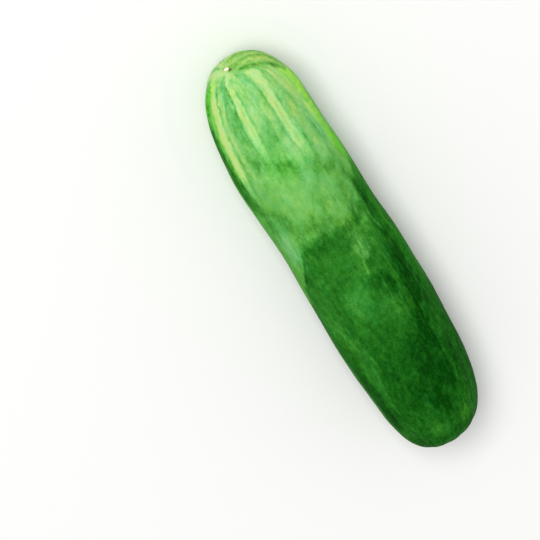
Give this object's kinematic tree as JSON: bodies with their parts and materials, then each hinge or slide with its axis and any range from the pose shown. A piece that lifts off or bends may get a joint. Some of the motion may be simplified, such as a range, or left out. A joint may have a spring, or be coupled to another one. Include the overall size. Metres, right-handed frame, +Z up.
{
  "type": "cucumber",
  "caption": "Whole slicing cucumber, as picked, lying on its side: a blunt, faintly furrowed green fruit, paler and streaked towards its blossom end.",
  "frame": {"origin": "Middle of the fruit's outline seen from above, on the surface it rests on.", "axes": "+X runs along the fruit from the blossom end to the stem end, +Y across it, +Z up from the surface."},
  "size_m": [0.2404, 0.0614, 0.0574],
  "materials": {
    "waxy_skin": "Waxy plant skin with a soft satin shine: light green with ten pale yellow-green streaks on the blossom half, dark green and finely mottled on the stem half."
  },
  "bodies": {
    "root": {"cucumber": "waxy_skin"}
  },
  "joints": []
}
